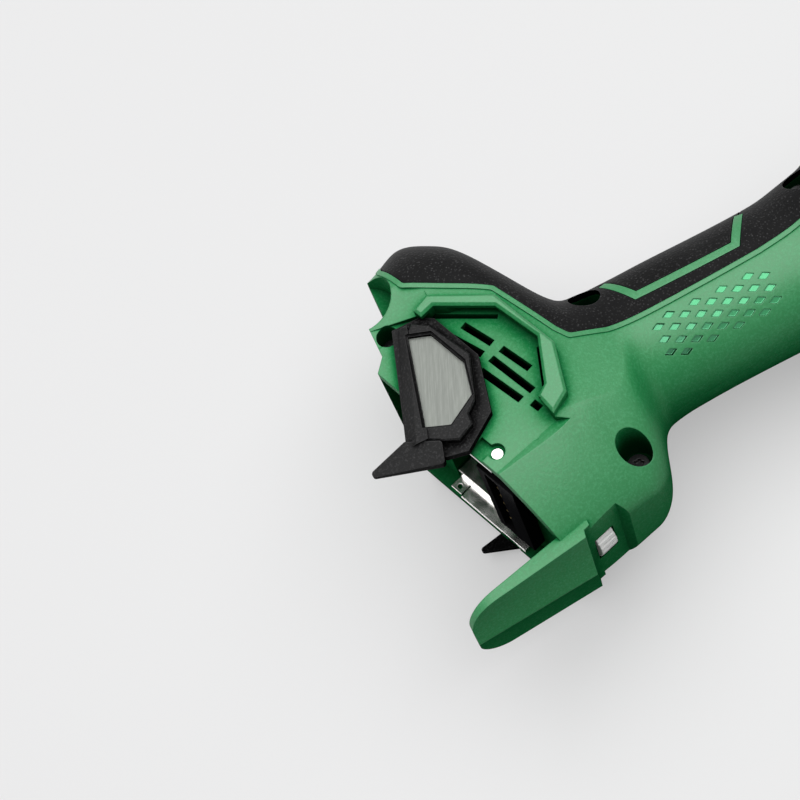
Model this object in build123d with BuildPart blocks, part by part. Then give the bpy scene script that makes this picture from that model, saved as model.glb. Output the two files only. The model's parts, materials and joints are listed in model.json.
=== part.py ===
from build123d import *
import math
import os

# Cordless die grinder, bare of its battery. Sizes are in millimetres.
# Frame: +X runs forward along the spindle and out of the collet, +Y points to the soft-grip side,
# +Z to the tool's right-hand side, which is up while the tool lies on its left flank.
# The origin is on the spindle axis, at the mouth of the collet bore.

os.makedirs("parts", exist_ok=True)

# Fits and gaps
running_fit = 0.03        # radial, a shaft turning in a bearing
seat_fit = 0.05           # radial or flat, a piece seated in its own body
slide_gap = 0.4           # between a piece that slides and what it passes
flat_gap = 0.15           # under a flat piece that slides on its seat
seam = 0.25               # groove between the soft cover and the hard plastic
edge_chamfer = 1.0        # on turned edges

# Collet and nut
shank_d = 6.0             # tool shank that the collet holds
collet_length = 26.0
collet_head_r = 5.4       # widest part of the collet
collet_mouth_r = 4.2      # radius at its front face
collet_head_length = 5.0
collet_cone_length = 2.1  # front cone that the nut presses on
collet_tail_r = 3.95
collet_slit = 0.8
collet_slit_length = 19.0
nut_across_flats = 19.0
nut_length = 21.8
nut_front_inset = 1.2     # nut face behind the collet face
nut_mouth_r = 7.6         # radius of the nut's chamfered front
nut_shoulder = 6.8        # from the nut's face to its thread
thread_r = 7.0            # spindle nose thread, over its crests

# Spindle, its bearings and the nose
nut_gap = 2.5             # between the nut and the wrench collar
wrench_collar_r = 9.0
wrench_collar_length = 10.5
wrench_flats = 14.0
nose_gap = 1.0
cap_length = 9.0
cap_r = 17.5
seal_land_r = 8.5
seal_r = 13.0
seal_width = 3.0
front_bearing_bore_r = 7.5
front_bearing_r = 16.0
front_bearing_width = 9.0
back_bearing_bore_r = 6.0
back_bearing_r = 14.0
back_bearing_width = 8.0
back_bearing_offset = 16.0   # from the motor joint to this bearing's rear face
spindle_tail_r = 5.0
spindle_tail_gap = 4.0       # from the motor joint to the spindle's rear end
nose_length = 91.0
neck_d = 43.0                # clamping neck
neck_length = 37.0
neck_chamfer = 1.6
nose_flange = 10.0
nose_bore_r = 12.0
nose_spigot_length = 4.0
boot_thickness = 3.0
boot_ribs = 6
boot_rib_height = 0.9
coupling_r = 8.5
coupling_length = 20.0
coupling_gap = 1.0           # between the spindle's end and the rotor shaft
coupling_room_r = 18.0       # room for the coupling in the nose
thread_root_r = 6.4
taper_gap = 0.06             # around the collet's cones
spindle_relief = 3.0         # behind the collet
shank_room = 24.0            # depth for a long shank behind the collet
nut_chamfer = 3.0
nut_corner_r = 10.8          # over the rounded corners of the hexagon
cap_bore_r = 9.5
boot_offset = 3.4            # from the clamping neck to the boot
boot_length = 31.0
boot_seat_r = 24.0
cone_step = 0.5
bearing_ring_share = 0.28    # share of a bearing's height in each ring
shield_depth = 0.4
hex_socket_r = 1.7
hex_socket_depth = 1.8

# Motor
motor_r = 32.0
motor_length = 94.0
motor_wall = 2.5
fan_r = 22.5
fan_width = 12.0
fan_offset = 10.0            # from the motor joint to the front of the fan
fan_blades = 11
bracket_offset = 24.5        # from the motor joint to the bearing bracket
bracket_thickness = 8.5
shaft_front_r = 5.0
shaft_rear_r = 4.0
motor_front_bearing_r = 13.0
motor_front_bearing_width = 8.0
motor_rear_bearing_r = 11.0
motor_rear_bearing_width = 7.0
bush_thickness = 1.5
stator_offset = 39.0         # from the motor joint to the stator core
stator_length = 38.0
stator_r = 27.0
air_gap = 0.6
rotor_r = 13.0
stator_teeth = 6
tooth_width = 7.0
stator_yoke = 4.5
insulator_thickness = 1.6
coil_overhang = 4.0
sensor_board_thickness = 1.6
vent_width = 3.0
vent_length = 13.0
vents_per_side = 4
vent_step_deg = 11.0
nose_screw_pcd = 56.0
nose_screw_count = 4
nose_screw_deg = 45.0
nose_screw_r = 2.0
nose_screw_head_r = 3.6
nose_screw_head = 3.2
nose_screw_length = 22.0
spigot_r = 27.5              # rear spigot of the motor housing, in the tail's front rim
spigot_length = 3.5
spigot_wall = 3.0
rear_wall = 4.0
rear_cover = 1.0             # closed wall behind the rear bearing
rear_seat_wall = 2.5
rear_seat_lead = 1.0
boss_wall_r = 3.9
boss_end_gap = 2.5
link_window_low = 19.0       # lower edge of the link's way through the rear wall
lead_window = 14.0
air_window = 18.0
air_channel_count = 6
air_channel_width = 9.0
air_channel_depth = 2.3
pole_shoe = 1.9
pole_width = 11.0
coil_build = 3.0
coil_clear = 1.3
board_post_r = 1.3
board_post_ring_r = 24.2
board_r = 25.6
board_bore_r = 9.0
fan_hub_r = 8.0
fan_plate = 1.6
fan_blade = 1.4
fan_blade_lean_deg = 25.0
bracket_hub_r = 15.5
bracket_rim = 2.5
bracket_hole_r = 7.0
bracket_air_r = 4.0
bracket_air_count = 6
bracket_web_offset = 4.5     # from the bracket's front to its web
lead_r = 1.4
lead_pitch = 3.0
lead_z = -16.6

# Switch: a slide knob on the motor housing, linked to a switch in the grip
switch_travel = 8.0
knob_length = 24.0
knob_width = 15.0
knob_height = 5.0
knob_offset = 30.0           # from the rear of the motor housing to the knob's middle
knob_ridges = 5
knob_pad_z = 33.0            # flat that the knob runs on
knob_pad_width = 20.0
stem_length = 8.0
stem_width = 5.0
link_thickness = 1.6
link_width = 7.0
link_z = 28.4                # height of the link over the motor
link_low_z = 15.6            # and in the grip
link_bend_offset = 2.0      # from the rear of the motor housing to the link's first bend
link_bend_run = 22.0
link_slot = 8.4              # width of the channel that the link runs in
link_roof = 29.8
slider_length = 8.0
slider_height = 2.6
switch_offset = 24.0         # from the rear of the motor housing to the switch
switch_length = 28.0
switch_height = 14.0
switch_width = 16.0
slider_tongue = 2.6
tongue_width = 4.0
knob_ridge_pitch = 3.6
knob_groove_r = 0.9
pad_margin = 2.0
switch_rib = 2.5             # ribs of the housing before and behind the switch
rib_gap = 5.8

# Grip and tail. Their lengths are told from the tail datum, which lies motor_to_datum behind the
# motor housing, in the middle of the grip.
motor_to_datum = 40.0
tail_wall = 3.4
grip_skin = 1.8              # thickness of the soft cover
tail_reach = 60.0            # more than the tail's half width
tail_sections = 34           # sections that the form is lofted through
tail_end = -113.0
# Outlines of the grip and tail, each as (x, value) points that a smooth curve passes through
top_line = [
    (motor_to_datum, motor_r), (33.0, 28.0), (25.0, 26.0), (14.0, 24.0), (0.0, 23.3), (-22.0, 22.8),
    (-38.0, 21.9), (-50.0, 21.0), (-54.0, 22.0), (-58.0, 27.6), (-65.0, 39.8), (-70.0, 48.6),
    (-76.0, 56.0), (-83.0, 60.4), (-88.0, 62.4), (-91.5, 61.8), (-97.5, 58.4), (tail_end, 52.0),
]
bottom_line = [
    (motor_to_datum, -motor_r), (28.0, -27.0), (14.0, -22.8), (-8.0, -23.3), (-30.0, -24.6),
    (-38.0, -26.4), (-42.0, -31.6), (-47.0, -45.0), (-52.0, -50.6), (-60.0, -53.0), (-76.0, -56.4),
    (tail_end, -62.5),
]
width_line = [
    (motor_to_datum, motor_r), (28.0, 27.2), (14.0, 23.6), (-8.0, 23.3), (-30.0, 23.8), (-40.0, 25.0),
    (-52.0, 30.0), (-64.0, 34.8), (-76.0, 37.0), (tail_end, 37.0),
]
crown_line = [(motor_to_datum, motor_r - 1.0), (14.0, 22.6), (-46.0, 22.0), (-76.0, 30.0), (tail_end, 30.0)]
belly_line = [
    (motor_to_datum, motor_r - 1.0), (14.0, 21.8), (-36.0, 22.5), (-52.0, 25.6), (-60.0, 27.0), (-76.0, 30.0),
    (tail_end, 33.0),
]
# The belly is round under the grip. Under the tail it is a flat slope with a blunt lower edge. Shares of
# its depth for which it leaves the flank level, and shares of the half width where it turns to the lower
# wall and where that wall begins
belly_lead_line = [(motor_to_datum, 0.552), (-38.0, 0.552), (-56.0, 0.1), (tail_end, 0.1)]
belly_turn_line = [(motor_to_datum, 0.58), (-38.0, 0.58), (-56.0, 0.6), (tail_end, 0.6)]
belly_wall_line = [(motor_to_datum, 0.05), (-38.0, 0.05), (-56.0, 0.32), (tail_end, 0.32)]
# The space inside is set back from the steep faces of the tail by the wall's thickness
setback_line = [(motor_to_datum, 0.0), (0.0, 0.0), (-36.0, -tail_wall), (tail_end, -tail_wall)]

# Battery pocket across the rear of the tail. Its opening slants by pocket_slant from square.
pocket_top = (-111.4, 12.4)
pocket_slant_deg = 21.05
pocket_length = 69.0
pocket_depth = 5.0
pocket_half_width = 30.5
pocket_wall = 3.0
well_start = 12.4            # deeper well in the pocket, beside the terminal block
well_depth = 11.2
rail_thickness = 1.2
rail_start = 13.2
rail_end = 37.4
rail_lug = 4.6               # length of the lug at the rail's upper end
rail_lug_gap = 0.5           # notch between the lug and the strip
rail_lug_hole_r = 0.9
rail_strip = 4.6             # width of the strip along the wall's rim
rail_strip_end = 47.2
rail_step = 5.4              # how far the deep leg stands in from the wall
rail_web = 5.2               # depth of the web between strip and leg
boss_rear_x = -108.0
scoop_middle = (-107.4, 38.6)
scoop_r = 11.0
scoop_low = 22.0
keyhole = (-90.6, -28.2)
keyhole_r = 1.8
keyhole_recess_r = 2.6
rim_notch_start = 38.9       # notch in the wall's rim, beside the keyhole
rim_notch_end = 44.4
rim_notch_depth = 5.4
rim_notch_floor = 31.9
hump_rear_x = -102.2
hump_rear_low = 31.0
block_start = 38.0
block_length = 15.0
block_half_width = 21.0
block_height = 15.0
block_slot_start = 40.8
block_slot = 5.2
block_slot_depth = 11.0
terminal_thickness = 0.9
terminal_count = 7
terminal_pitch = 5.6
terminal_inset = 2.0
block_stand = 4.5            # how far the block stands up from the pocket's floor
block_rim = 2.4
tray_start = 4.0
tray_length = 48.0
tray_depth = 16.0
tray_half_width = 22.0
tray_wall = 1.5
board_inset = 5.0
board_parts = 3
board_part = 9.0
board_part_edge = 5.0
board_part_pitch = 13.0
board_part_height = 4.0

# Dust filter seats, one on each flank
seat_z = 33.5
seat_wall = 2.6
lip_top = 39.0
groove_height = 3.2
flange_thickness = 2.4
lip_chamfer = 0.8
filter_top = 38.6
mesh_thickness = 0.8
mesh_height = 36.0
pull_out = 19.6              # how far the right filter is drawn out of its seat
pull_slope_deg = 13.7
lip_outer = [
    (-93.7, 23.7), (-88.2, 26.6), (-70.2, 16.5), (-61.4, -6.9), (-65.1, -23.1), (-71.4, -27.7),
]
lip_inner = [
    (-92.5, 20.6), (-87.8, 22.3), (-71.6, 12.9), (-64.9, -2.6), (-69.8, -17.9), (-73.0, -20.6),
]
# Way of the filter's flange under the lip, and the floor of the seat around the lip's open side
groove_points = [
    (-125.0, 30.3), (-74.0, 17.9), (-70.2, 15.4), (-63.0, -2.9), (-67.2, -22.0), (-78.4, -30.7),
    (-125.0, -19.3),
]
seat_points = [(-125.0, 30.9), (-93.5, 23.2)] + lip_inner + [
    (-71.4, -27.7), (-95.0, -35.0), (-125.0, -35.0),
]
flange_points = [
    (-83.1, 17.4), (-74.0, 17.4), (-70.1, 14.9), (-63.5, -2.9), (-67.7, -21.8), (-78.6, -30.1),
    (-85.1, -28.7), (-94.6, -21.6),
]
rim_points = [
    (-79.0, 13.6), (-77.0, 15.2), (-72.4, 12.2), (-65.6, -2.7), (-70.4, -17.3), (-73.8, -20.3),
    (-74.2, -23.9), (-79.5, -26.7), (-84.0, -24.6), (-90.6, -20.6),
]
rim_chamfer = 0.5
bar_points = [
    (-83.1, 17.4), (-78.4, 15.4), (-79.2, 12.0), (-86.4, -18.4), (-87.5, -22.3), (-91.3, -22.3),
    (-94.6, -21.6),
]
bar_slope = [(-78.8, 12.7, lip_top), (-91.0, -21.7, lip_top), (-92.0, -12.6, lip_top - 3.0)]
tab_points = [(-109.4, -22.9), (-94.0, -19.6), (-84.2, -24.6), (-86.2, -30.4)]
tab_corner = 1.0
tab_slope = [(-92.0, -20.0, filter_top), (-84.3, -24.2, filter_top), (-96.8, -28.8, filter_top - 3.8)]
window_ledge = 0.7
window_points = [
    (-79.7, 11.8), (-73.3, 9.4), (-68.3, -4.0), (-70.6, -15.0), (-79.8, -20.9), (-86.8, -18.0),
]
mesh_tuck = 0.8              # how far the mesh is let into the frame
slot_width = 2.4
# Gaps in the seat's floor under the lip
lip_gaps = [[(-89.6, 22.2), (-72.0, 12.0)], [(-65.5, -3.4), (-69.5, -16.0)]]
lip_gap_width = 1.6
# Hollow in the flank behind the lip, and the flank below the seat: slopes through three points
hollow_slope = [(-90.0, 34.0, 37.0), (-88.6, 26.4, 36.6), (-104.0, 24.0, 34.0)]
hollow_points = [(-125.0, 20.0), (-88.0, 20.0), (-88.0, 60.0), (-125.0, 60.0)]
ramp_slope = [(-71.4, -27.7, seat_z), (-95.0, -35.0, seat_z), (-68.4, -37.3, seat_z + 3.3)]
ramp_points = [
    (-71.4, -27.7), (-60.0, -33.0), (-64.0, -52.0), (-110.0, -52.0), (-125.0, -35.0), (-95.0, -35.0),
]
# Air slots in the seat, each from one end to the other along its middle
slot_lines = [
    ((-82.4, 14.6), (-77.2, 4.6)), ((-86.9, 12.2), (-81.2, 2.6)), ((-75.6, 1.6), (-70.9, -8.6)),
    ((-79.6, 0.2), (-73.2, -15.6)), ((-84.0, -2.0), (-77.4, -16.6)), ((-74.9, -19.0), (-73.6, -22.0)),
]

# Foot behind the battery pocket, and the dial in front of it
foot_tip_x = -119.4
foot_root_x = -76.0
foot_half_width = 19.0
foot_tip_half_width = 15.5
foot_top = -51.5
foot_side = -57.6
foot_bottom = -61.6
foot_tip_top = -61.2
foot_tip_side = -63.4
foot_tip_bottom = -65.6
foot_tip_round = 11.0
dial_centre = (-75.4, -45.4)
dial_lean_deg = 18.1
dial_r = 10.4
dial_width = 6.0
dial_ribs = 30
dial_rib_r = 0.45
dial_shaft_r = 2.0
dial_shaft_length = 8.0
dial_gap = 0.6
dial_proud = 1.6             # how far the dial stands out of the trough's floor
pot_height = 5.0
pot_width = 12.0
pot_length = 9.0
trough_wall = 2.4
trough_points = [(-80.2, -66.0), (-78.0, -55.6), (-66.4, -51.8), (-61.0, -56.0), (-60.0, -66.0)]

# Screws that hold the halves together: place, height of the head's seat, length, counterbore radius
housing_screws = [
    ((-45.6, 11.4), 9.0, 22.0, 5.0),
    ((29.0, 16.5), 10.0, 22.0, 5.0),
    ((29.0, -16.5), 10.0, 22.0, 5.0),
    ((-54.4, -40.8), 8.0, 22.0, 5.0),
    ((-104.0, 22.4), 23.0, 36.0, 3.5),
]
screw_r = 2.0
screw_head_r = 3.3
screw_head = 2.8
boss_r = 6.6
torx_r = 1.4
torx_lobe_r = 0.45
torx_depth = 1.5

# Grip decoration
diamond_length = 4.2
diamond_height = 2.3
diamond_depth = 0.5
diamond_pitch = 8.7
diamond_row_deg = 4.85
diamond_first_deg = -16.8
diamond_rows = 7
diamond_first_x = -30.7
inlay_width = 2.7
inlay_points = [(-38.6, 15.0), (-32.0, 3.5), (1.6, 4.6), (8.6, 17.0)]
inlay_top = 24.0             # the pad's seam runs on from the rib's ends to the mid-plane
cover_points = [
    (motor_to_datum + 1.0, 90.0), (-96.8, 90.0), (-96.8, 47.0), (-92.8, 35.0), (-69.0, 20.6),
    (-58.2, 0.4), (-55.6, -2.8), (-45.0, -3.7), (6.4, -0.5), (24.0, 1.8), (motor_to_datum + 1.0, 7.0),
]
cover_corner = 2.0
bead_width = 1.6             # raised rim beside the cover
bead_height = 0.3
bead_front_x = 36.0

# Stations along the spindle axis, each hung on the one before it
nut_front = -nut_front_inset
nut_rear = nut_front - nut_length
collar_front = nut_rear - nut_gap
collar_rear = collar_front - wrench_collar_length
nose_front = collar_rear - nose_gap
cap_rear = nose_front - cap_length
front_bearing_rear = cap_rear - front_bearing_width
motor_front = nose_front - nose_length
flange_front = motor_front + nose_flange
back_bearing_rear = motor_front + back_bearing_offset
back_bearing_front = back_bearing_rear + back_bearing_width
spindle_rear = motor_front + spindle_tail_gap
neck_front = nose_front - neck_chamfer
neck_rear = neck_front - neck_length
motor_rear = motor_front - motor_length
spigot_rear = motor_rear - spigot_length
datum = motor_rear - motor_to_datum
switch_front = motor_rear - switch_offset
switch_rear = switch_front - switch_length
slant = math.radians(pocket_slant_deg)


def at_tail(points, shift=(0.0, 0.0)):
    """Points told from the tail datum, in the tool's own frame."""
    return [(datum + x + shift[0], y + shift[1]) for x, y in points]


def slope_plane(points, shift=(0.0, 0.0)):
    """Plane through three points of the tail, facing up."""
    place, first, second = [Vector(*at_tail([(x, y)], shift)[0], z) for x, y, z in points]
    rise = (first - place).cross(second - place)
    return Plane(origin=place, z_dir=rise * math.copysign(1, rise.Z))


def in_pocket(along, depth):
    """Point of the battery pocket: along its opening from the top, and in from the opening."""
    run = (math.sin(slant), -math.cos(slant))
    inward = (math.cos(slant), math.sin(slant))
    return (
        datum + pocket_top[0] + along * run[0] + depth * inward[0],
        pocket_top[1] + along * run[1] + depth * inward[1],
    )


def pocket_box(start, end, shallow, deep):
    """Rectangle in the pocket's own slanted directions."""
    return [in_pocket(start, shallow), in_pocket(start, deep), in_pocket(end, deep), in_pocket(end, shallow)]


def turn(points, mode=Mode.ADD):
    """Revolve a closed outline of (x, radius) points about the spindle axis."""
    with BuildSketch(Plane.XY) as outline:
        with BuildLine():
            Polyline(*points, close=True)
        make_face()
    revolve(outline.sketch, axis=Axis.X, mode=mode)


def slab(points, z_low, z_high, corner=0.0, grow=0.0, mode=Mode.ADD):
    """Plate with an outline drawn in the mid-plane, from one height to another."""
    with BuildSketch(Plane.XY.offset(z_low)) as outline:
        with BuildLine():
            Polyline(*points, close=True)
        make_face()
        if grow:
            offset(amount=grow, kind=Kind.INTERSECTION, mode=Mode.REPLACE)
        if corner:
            fillet(outline.vertices(), corner)
    extrude(outline.sketch, amount=z_high - z_low, dir=(0, 0, 1), mode=mode)


def post(place, radius, z_low, z_high, mode=Mode.ADD):
    """Round post or hole square to the mid-plane."""
    with Locations((place[0], place[1], (z_low + z_high) / 2)):
        Cylinder(radius, z_high - z_low, mode=mode)


def block(low, high, mode=Mode.ADD):
    """Square block between two corners."""
    middle = tuple((a + b) / 2 for a, b in zip(low, high))
    size = tuple(abs(b - a) for a, b in zip(low, high))
    with Locations(middle):
        Box(*size, mode=mode)


def rods(radius, ring_r, count, x_front, x_rear, first_deg=0.0, mode=Mode.ADD):
    """Round rods or holes along the spindle, set in a ring."""
    with BuildSketch(Plane.YZ.offset(x_rear)) as outline:
        with PolarLocations(ring_r, count, start_angle=first_deg):
            Circle(radius)
    extrude(outline.sketch, amount=x_front - x_rear, mode=mode)


def along(line, x):
    """Value of an outline at x, on a smooth curve that never swings past its points."""
    points = sorted(line)
    steps = [(right[1] - left[1]) / (right[0] - left[0]) for left, right in zip(points, points[1:])]
    slopes = [steps[0]]
    for before, after in zip(steps, steps[1:]):
        slopes.append(0.0 if before * after <= 0 else 2 * before * after / (before + after))
    slopes.append(steps[-1])
    index = max(i for i in range(len(steps)) if i == 0 or points[i][0] <= x)
    (x0, y0), (x1, y1) = points[index], points[index + 1]
    width = x1 - x0
    t = (x - x0) / width
    rise = (3 - 2 * t) * t * t
    lead = t * (1 - t) ** 2 * width * slopes[index]
    trail = t * t * (t - 1) * width * slopes[index + 1]
    return y0 + (y1 - y0) * rise + lead + trail


def tail_section(x, skin, shift, width_limit):
    """Outline of the grip or tail square to the spindle, drawn in by a skin and moved by a shift."""
    top = along(top_line, x)
    bottom = along(bottom_line, x)
    width = min(along(width_line, x) - skin, width_limit)
    crown = along(crown_line, x)
    belly = along(belly_line, x)
    high = (top - crown, 0.0)
    low = bottom + belly
    lead = low - along(belly_lead_line, x) * (belly - skin)
    floor = bottom + skin
    turn = along(belly_turn_line, x) * width
    wall = along(belly_wall_line, x) * width
    plane = Plane(origin=(datum + x + shift, 0, 0), x_dir=(0, 1, 0), z_dir=(1, 0, 0))
    with BuildSketch(plane) as section:
        with BuildLine():
            EllipticalCenterArc(high, crown - skin, width, start_angle=0, arc_size=90)
            Line((high[0], width), (low, width))
            Bezier((low, width), (lead, width), (floor, turn), (floor, wall))
            Line((floor, wall), (floor, -wall))
            Bezier((floor, -wall), (floor, -turn), (lead, -width), (low, -width))
            Line((low, -width), (high[0], -width))
            EllipticalCenterArc(high, crown - skin, width, start_angle=270, arc_size=90)
        make_face()
    return section.sketch


def tail_form(skin=0.0, setback=False, width_limit=tail_reach):
    """Right-hand half of the grip and tail, into an empty part."""
    step = (tail_end - motor_to_datum) / (tail_sections - 1)
    stations = [motor_to_datum + i * step for i in range(tail_sections)]
    shifts = [along(setback_line, x) if setback else 0.0 for x in stations]
    loft([tail_section(x, skin, shift, width_limit) for x, shift in zip(stations, shifts)])
    split(bisect_by=Plane.XY, keep=Keep.TOP)


# Forms that the housing halves are cut from
with BuildPart() as outer_form:
    tail_form()

with BuildPart() as bed_form:
    tail_form(skin=grip_skin)

with BuildPart() as wall_form:
    tail_form(skin=tail_wall)

# Space inside the right half, with the screw bosses and the dial trough left standing in it
rear_wall_x = hump_rear_x + tail_wall
screw_places = at_tail([screw[0] for screw in housing_screws])
with BuildPart() as cavity:
    tail_form(skin=tail_wall, setback=True, width_limit=seat_z - seat_wall)
    slab(at_tail([(rear_wall_x, -90), (60, -90), (60, 90), (rear_wall_x, 90)]), 0, tail_reach,
         mode=Mode.INTERSECT)
    slab(pocket_box(-80, 120, pocket_depth + pocket_wall, 200), 0, tail_reach, mode=Mode.INTERSECT)
    slab(pocket_box(well_start, block_start, 0, well_depth), 0, tail_reach, grow=pocket_wall,
         mode=Mode.SUBTRACT)
    post(at_tail([scoop_middle])[0], scoop_r + seat_wall, 0, tail_reach, mode=Mode.SUBTRACT)
    for place in screw_places:
        post(place, boss_r, 0, tail_reach, mode=Mode.SUBTRACT)
    slab(at_tail(trough_points), 0, tail_reach, grow=trough_wall, mode=Mode.SUBTRACT)
    for rib_x in (switch_front, switch_rear - switch_rib):
        for rib_y in (rib_gap, -rib_gap - tail_reach):
            slab([(rib_x, rib_y), (rib_x + switch_rib, rib_y), (rib_x + switch_rib, rib_y + tail_reach),
                  (rib_x, rib_y + tail_reach)], 0, tail_reach, mode=Mode.SUBTRACT)

# Bed of the soft cover: the outer skin behind the cover's edge, less the inlay rib
with BuildSketch(Plane.XY) as inlay_outline:
    with BuildLine():
        Polyline(*at_tail(inlay_points))
    trace(line_width=inlay_width)

with BuildPart() as cover_bed:
    add(outer_form.part)
    add(bed_form.part, mode=Mode.SUBTRACT)
    slab(at_tail(cover_points), 0, tail_reach, corner=cover_corner, mode=Mode.INTERSECT)
    extrude(inlay_outline.sketch, amount=tail_reach, dir=(0, 0, 1), mode=Mode.SUBTRACT)

# Raised rim beside the cover
with BuildPart() as bead:
    tail_form(skin=-bead_height)
    slab(at_tail(cover_points), 0, tail_reach, corner=cover_corner, grow=bead_width, mode=Mode.INTERSECT)
    slab(at_tail(cover_points), 0, tail_reach, corner=cover_corner, mode=Mode.SUBTRACT)
    slab(at_tail([(tail_end, -90), (bead_front_x, -90), (bead_front_x, 90), (tail_end, 90)]), 0, tail_reach,
         mode=Mode.INTERSECT)

# Recessed diamonds on the grip
with BuildPart() as diamonds:
    for row in range(diamond_rows):
        lean = math.radians(diamond_first_deg - row * diamond_row_deg)
        odd = row % 2
        out = (0.0, math.sin(lean), math.cos(lean))
        first = datum + diamond_first_x + (0.5 - 0.5 * odd) * diamond_pitch
        for column in range(4 + odd):
            floor = along(width_line, diamond_first_x) - diamond_depth
            middle = (first + column * diamond_pitch, out[1] * floor, out[2] * floor)
            with BuildSketch(Plane(origin=middle, x_dir=(1, 0, 0), z_dir=out)) as rhomb:
                with BuildLine():
                    Polyline((diamond_length / 2, 0), (0, diamond_height / 2), (-diamond_length / 2, 0),
                             (0, -diamond_height / 2), close=True)
                make_face()
            extrude(rhomb.sketch, amount=4 * diamond_depth)


def foot_section(x, top, side, bottom, half_width):
    """Half outline of the foot: flat top, upright side, rounded underside."""
    plane = Plane(origin=(datum + x, 0, 0), x_dir=(0, 1, 0), z_dir=(1, 0, 0))
    with BuildSketch(plane) as section:
        with BuildLine():
            Polyline((bottom, 0), (top, 0), (top, half_width), (side, half_width))
            RadiusArc((side, half_width), (bottom, 0), 3.2 * half_width)
        make_face()
    return section.sketch


# Foot that guards the battery, as half sections from its root to its tip
with BuildPart() as foot:
    loft([
        foot_section(foot_root_x, foot_top, foot_side, foot_bottom, foot_half_width),
        foot_section(foot_tip_x, foot_tip_top, foot_tip_side, foot_tip_bottom, foot_tip_half_width),
    ])
    with BuildSketch(Plane.XZ) as foot_plan:
        with BuildLine():
            Polyline((datum + foot_root_x, 0), (datum + foot_tip_x, 0),
                     (datum + foot_tip_x, foot_tip_half_width), (datum + foot_root_x, foot_half_width),
                     close=True)
        make_face()
        fillet(foot_plan.vertices().group_by(Axis.X)[0].sort_by(Axis.Y)[-1], foot_tip_round)
    extrude(amount=tail_reach * 2, both=True, mode=Mode.INTERSECT)

# Well of the speed dial: its axis lies in the mid-plane and leans from the spindle
dial_middle = at_tail([dial_centre])[0]
dial_lean = math.radians(dial_lean_deg)
dial_plane = Plane(
    origin=(dial_middle[0], dial_middle[1], 0),
    x_dir=(-math.sin(dial_lean), math.cos(dial_lean), 0),
    z_dir=(math.cos(dial_lean), math.sin(dial_lean), 0),
)


def dial_disc(radius, low, high, mode=Mode.ADD):
    """Disc about the dial's axis, between two places along it."""
    with BuildSketch(dial_plane.offset(low)) as outline:
        Circle(radius)
    extrude(outline.sketch, amount=high - low, mode=mode)


# Air slots of the filter seat
with BuildPart() as air_slots:
    for start, end in slot_lines:
        with BuildSketch(Plane.XY.offset(seat_z - 3 * seat_wall)) as slot:
            with BuildLine():
                Polyline(*at_tail([start, end]))
            trace(line_width=slot_width)
        extrude(slot.sketch, amount=6 * seat_wall)
    for middle in lip_gaps:
        with BuildSketch(Plane.XY.offset(seat_z - 3 * seat_wall)) as gap:
            with BuildLine():
                Polyline(*at_tail(middle))
            trace(line_width=lip_gap_width)
        extrude(gap.sketch, amount=3 * seat_wall + flat_gap)

# Battery pocket: its lower corners follow the tail's wall
with BuildPart() as pocket_space:
    slab(pocket_box(0, pocket_length, -pocket_depth, pocket_depth), 0, pocket_half_width)
    slab(pocket_box(well_start, block_start, 0, well_depth), 0, pocket_half_width)
    add(wall_form.part, mode=Mode.INTERSECT)

# Lip around the filter seat, open to the rear, and the slopes of the flank behind and below it
with BuildPart() as lip:
    slab(at_tail(lip_outer + lip_inner[::-1]), seat_z - seat_wall, lip_top)
    chamfer(lip.faces().sort_by(Axis.Z)[-1].edges(), lip_chamfer)

with BuildPart() as flank_hollow:
    slab(at_tail(hollow_points), seat_z - seat_wall, tail_reach)
    split(bisect_by=slope_plane(hollow_slope), keep=Keep.TOP)
    slab(at_tail(cover_points), 0, tail_reach, corner=cover_corner, grow=bead_width, mode=Mode.SUBTRACT)

with BuildPart() as flank_ramp:
    slab(at_tail(ramp_points), seat_z - seat_wall, tail_reach)
    split(bisect_by=slope_plane(ramp_slope), keep=Keep.TOP)

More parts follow.
